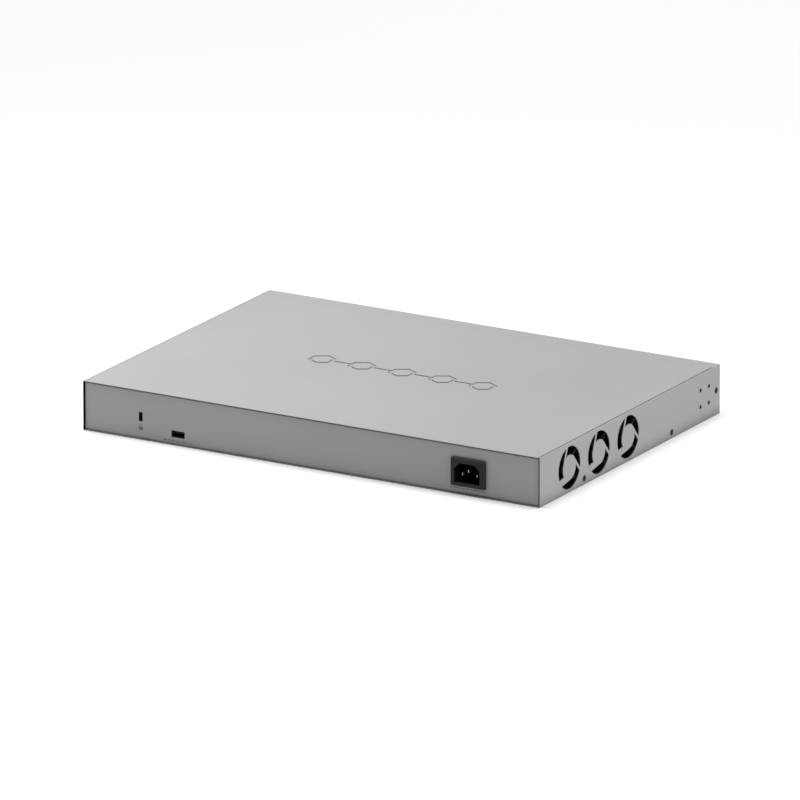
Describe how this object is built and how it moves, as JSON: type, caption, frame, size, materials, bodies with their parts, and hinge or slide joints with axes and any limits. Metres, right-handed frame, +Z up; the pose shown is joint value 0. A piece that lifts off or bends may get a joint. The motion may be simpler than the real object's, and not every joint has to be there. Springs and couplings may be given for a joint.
{
  "type": "rackmount network switch",
  "caption": "Flat sheet-metal network switch for a rack, with stacked copper ports, fibre-module ports, side fans and a mains inlet.",
  "frame": {"origin": "middle of the underside, midway between the foremost and rearmost points", "axes": "+X across the width, towards the vented side away from the fans, +Y towards the rear panel with the mains inlet, +Z up"},
  "size_m": [0.44, 0.312, 0.043],
  "materials": {
    "grey_powder_coat": "matt light grey powder coat",
    "zinc_steel": "bright zinc plate",
    "tinned_shell": "tin-plated shell",
    "bare_aluminium": "plain extruded aluminium",
    "black_plastic": "moulded black plastic",
    "grey_plastic": "moulded grey plastic",
    "black_oxide": "black oxide on steel",
    "board_laminate": "green solder mask on glass-fibre laminate",
    "clear_guide": "clear moulded light guide",
    "plated_blade": "nickel-plated brass",
    "copper_winding": "enamelled copper winding",
    "ferrite_black": "dark ferrite and chip resin",
    "insulating_film": "amber insulating film",
    "capacitor_sleeve": "shrink sleeve on an aluminium can",
    "brown_wire": "brown insulation",
    "blue_wire": "blue insulation",
    "green_wire": "green insulation",
    "black_wire": "black sleeve"
  },
  "bodies": {
    "case": {"bulk_capacitor_1": "capacitor_sleeve", "bulk_capacitor_2": "capacitor_sleeve", "chassis_base": "grey_powder_coat", "cover_screw_fan_side_front": "black_oxide", "cover_screw_fan_side_middle": "black_oxide", "cover_screw_fan_side_rear": "black_oxide", "cover_screw_vent_side_front": "black_oxide", "cover_screw_vent_side_middle": "black_oxide", "cover_screw_vent_side_rear": "black_oxide", "earth_lead": "green_wire", "fan_bracket": "zinc_steel", "fan_frame_1": "black_plastic", "fan_frame_2": "black_plastic", "fan_frame_3": "black_plastic", "fan_header": "black_plastic", "fan_lead_1": "black_wire", "fan_lead_2": "black_wire", "fan_lead_3": "black_wire", "fan_motor_1": "copper_winding", "fan_motor_2": "copper_winding", "fan_motor_3": "copper_winding", "front_panel": "grey_powder_coat", "inlet_housing": "black_plastic", "inlet_pin_earth": "plated_blade", "inlet_pin_line": "plated_blade", "inlet_pin_neutral": "plated_blade", "insulator_sheet": "insulating_film", "jack_housing_1": "black_plastic", "jack_housing_2": "black_plastic", "jack_housing_3": "black_plastic", "jack_shield_1": "tinned_shell", "jack_shield_2": "tinned_shell", "jack_shield_3": "tinned_shell", "led_mode_switch": "black_plastic", "light_pipe": "clear_guide", "line_choke": "copper_winding", "lock_plate": "zinc_steel", "main_board": "board_laminate", "mains_lead_line": "brown_wire", "mains_lead_neutral": "blue_wire", "output_harness": "black_wire", "output_heatsink": "bare_aluminium", "port_heatsink": "bare_aluminium", "primary_heatsink": "bare_aluminium", "rear_panel": "grey_powder_coat", "reset_switch": "black_plastic", "sfp_cage": "tinned_shell", "sfp_connector": "black_plastic", "supply_board": "board_laminate", "supply_transformer": "ferrite_black", "switch_chip": "ferrite_black", "switch_heatsink": "bare_aluminium", "top_cover": "grey_powder_coat", "usb_shell": "tinned_shell", "usb_tongue": "black_plastic"},
    "rotor_1": {"fan_rotor_1": "black_plastic"},
    "rotor_2": {"fan_rotor_2": "black_plastic"},
    "rotor_3": {"fan_rotor_3": "black_plastic"},
    "led_mode_plunger": {"led_mode_button": "grey_plastic"},
    "reset_plunger": {"reset_button": "black_plastic"}
  },
  "joints": [
    {"name": "fan_1_spin", "type": "hinge", "parent": "case", "child": "rotor_1", "pos_m": [-0.2187, 0.1044, 0.0215], "axis": [1, 0, 0], "continuous": true},
    {"name": "fan_2_spin", "type": "hinge", "parent": "case", "child": "rotor_2", "pos_m": [-0.2187, 0.0544, 0.0215], "axis": [1, 0, 0], "continuous": true},
    {"name": "fan_3_spin", "type": "hinge", "parent": "case", "child": "rotor_3", "pos_m": [-0.2187, 0.0044, 0.0215], "axis": [1, 0, 0], "continuous": true},
    {"name": "led_mode_press", "type": "slide", "parent": "case", "child": "led_mode_plunger", "axis": [0, 1, 0], "range_m": [0, 0.0005], "stiffness_N_per_m": 400},
    {"name": "reset_press", "type": "slide", "parent": "case", "child": "reset_plunger", "axis": [0, 1, 0], "range_m": [0, 0.0005], "stiffness_N_per_m": 400}
  ]
}
